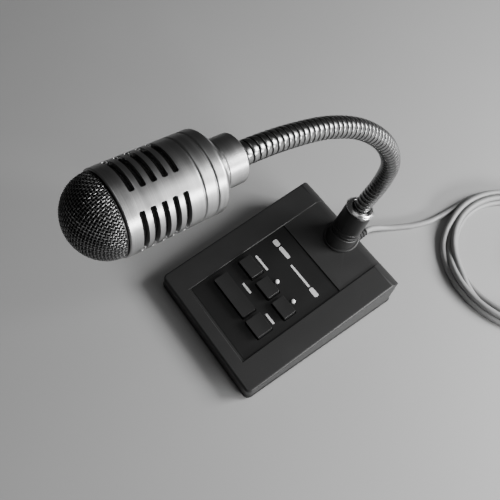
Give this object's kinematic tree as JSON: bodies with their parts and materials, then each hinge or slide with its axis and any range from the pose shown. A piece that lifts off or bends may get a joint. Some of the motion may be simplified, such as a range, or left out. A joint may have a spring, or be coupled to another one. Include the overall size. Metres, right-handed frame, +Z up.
{
  "type": "gooseneck desk microphone",
  "caption": "Desk microphone: a wedge-shaped key base, a bendable gooseneck stem and a slotted metal head with a mesh dome, on a coiled lead with a round plug.",
  "frame": {"origin": "on the surface the base stands on, at the middle of the width and of the depth of the microphone without its cord", "axes": "+Z up; +X to the right of a person at the keys; +Y to the rear, where the stem and the cord are"},
  "size_m": [0.1947, 0.3666, 0.2164],
  "materials": {
    "shell": "finely grained dark grey moulded plastic, satin",
    "face_plate": "near-black satin key plate with plain pale marks",
    "key": "dark grey satin moulded key caps with soft edges",
    "lamp": "milky white indicator lamps",
    "board": "green lacquered circuit board",
    "inner_plastic": "black moulded plastic",
    "steel": "zinc-plated and turned steel",
    "nut": "dark grey satin moulded nut",
    "chrome": "polished chrome plating",
    "neck": "black-chromed wound steel with bright ridges",
    "head": "turned silver-grey aluminium, finely brushed around its axis",
    "wire_mesh": "dark woven steel wire",
    "foam": "black open-cell foam",
    "rubber": "black matt rubber",
    "cord": "light grey soft vinyl cord jacket"
  },
  "bodies": {
    "base": {"upper_shell": "shell", "base_plate": "shell", "ballast_plate": "steel", "control_plate": "face_plate", "circuit_board": "board", "neck_socket": "steel", "lock_washer": "steel", "lock_nut": "steel", "neck_nut": "nut", "cord_relief": "rubber", "cord_lead": "cord", "cord_coil": "cord", "cord_tail": "cord", "plug_boot": "rubber", "plug_shell": "steel", "plug_insert": "inner_plastic", "lamp_left": "lamp", "lamp_right": "lamp", "base_screw_1": "steel", "foot_1": "rubber", "base_screw_2": "steel", "foot_2": "rubber", "base_screw_3": "steel", "foot_3": "rubber", "base_screw_4": "steel", "foot_4": "rubber", "key_switch_1": "inner_plastic", "key_switch_2": "inner_plastic", "key_switch_3": "inner_plastic", "key_switch_4": "inner_plastic", "key_switch_5": "inner_plastic"},
    "neck_foot": {"neck_sleeve": "steel", "nut_ring": "chrome"},
    "link_1": {"neck_link_1": "neck"},
    "link_2": {"neck_link_2": "neck"},
    "link_3": {"neck_link_3": "neck"},
    "link_4": {"neck_link_4": "neck"},
    "link_5": {"neck_link_5": "neck"},
    "link_6": {"neck_link_6": "neck"},
    "link_7": {"neck_link_7": "neck"},
    "head": {"neck_ferrule": "chrome", "head_collar": "head", "head_body": "head", "slot_liner": "foam", "capsule_mount": "rubber", "capsule": "steel", "mesh_dome": "wire_mesh", "wind_foam": "foam"},
    "zone_key_1_body": {"zone_key_1": "key"},
    "zone_key_2_body": {"zone_key_2": "key"},
    "zone_key_3_body": {"zone_key_3": "key"},
    "talk_bar_body": {"talk_bar": "key"},
    "chime_key_body": {"chime_key": "key"}
  },
  "joints": [
    {"name": "neck_swivel", "type": "hinge", "parent": "base", "child": "neck_foot", "pos_m": [0, 0.08257, 0.02991], "axis": [0, 0.2924, 0.9563], "range_deg": [-45, 45]},
    {"name": "neck_bend_1", "type": "hinge", "parent": "neck_foot", "child": "link_1", "pos_m": [0, 0.09178, 0.06003], "axis": [1, 0, 0], "range_deg": [-10, 7]},
    {"name": "neck_bend_2", "type": "hinge", "parent": "link_1", "child": "link_2", "pos_m": [0.00291, 0.09635, 0.08667], "axis": [1, 0, 0], "range_deg": [-10, 7]},
    {"name": "neck_bend_3", "type": "hinge", "parent": "link_2", "child": "link_3", "pos_m": [0.0054, 0.09165, 0.11332], "axis": [1, 0, 0], "range_deg": [-10, 7]},
    {"name": "neck_bend_4", "type": "hinge", "parent": "link_3", "child": "link_4", "pos_m": [0.0033, 0.07912, 0.13737], "axis": [1, 0, 0], "range_deg": [-10, 7]},
    {"name": "neck_bend_5", "type": "hinge", "parent": "link_4", "child": "link_5", "pos_m": [-0.0008, 0.06017, 0.15646], "axis": [1, 0, 0], "range_deg": [-10, 7]},
    {"name": "neck_bend_6", "type": "hinge", "parent": "link_5", "child": "link_6", "pos_m": [-0.0035, 0.03679, 0.17022], "axis": [1, 0, 0], "range_deg": [-10, 7]},
    {"name": "neck_bend_7", "type": "hinge", "parent": "link_6", "child": "link_7", "pos_m": [-0.00363, 0.01145, 0.18036], "axis": [1, 0, 0], "range_deg": [-10, 7]},
    {"name": "neck_bend_8", "type": "hinge", "parent": "link_7", "child": "head", "pos_m": [-0.0023, -0.01453, 0.1887], "axis": [1, 0, 0], "range_deg": [-10, 7]},
    {"name": "zone_key_1_press", "type": "slide", "parent": "base", "child": "zone_key_1_body", "axis": [0, 0.1478, -0.989], "range_m": [0, 0.0012], "stiffness_N_per_m": 300, "springref_m": -0.001},
    {"name": "zone_key_2_press", "type": "slide", "parent": "base", "child": "zone_key_2_body", "axis": [0, 0.1478, -0.989], "range_m": [0, 0.0012], "stiffness_N_per_m": 300, "springref_m": -0.001},
    {"name": "zone_key_3_press", "type": "slide", "parent": "base", "child": "zone_key_3_body", "axis": [0, 0.1478, -0.989], "range_m": [0, 0.0012], "stiffness_N_per_m": 300, "springref_m": -0.001},
    {"name": "talk_bar_press", "type": "slide", "parent": "base", "child": "talk_bar_body", "axis": [0, 0.1478, -0.989], "range_m": [0, 0.0012], "stiffness_N_per_m": 300, "springref_m": -0.001},
    {"name": "chime_key_press", "type": "slide", "parent": "base", "child": "chime_key_body", "axis": [0, 0.1478, -0.989], "range_m": [0, 0.0012], "stiffness_N_per_m": 300, "springref_m": -0.001}
  ]
}
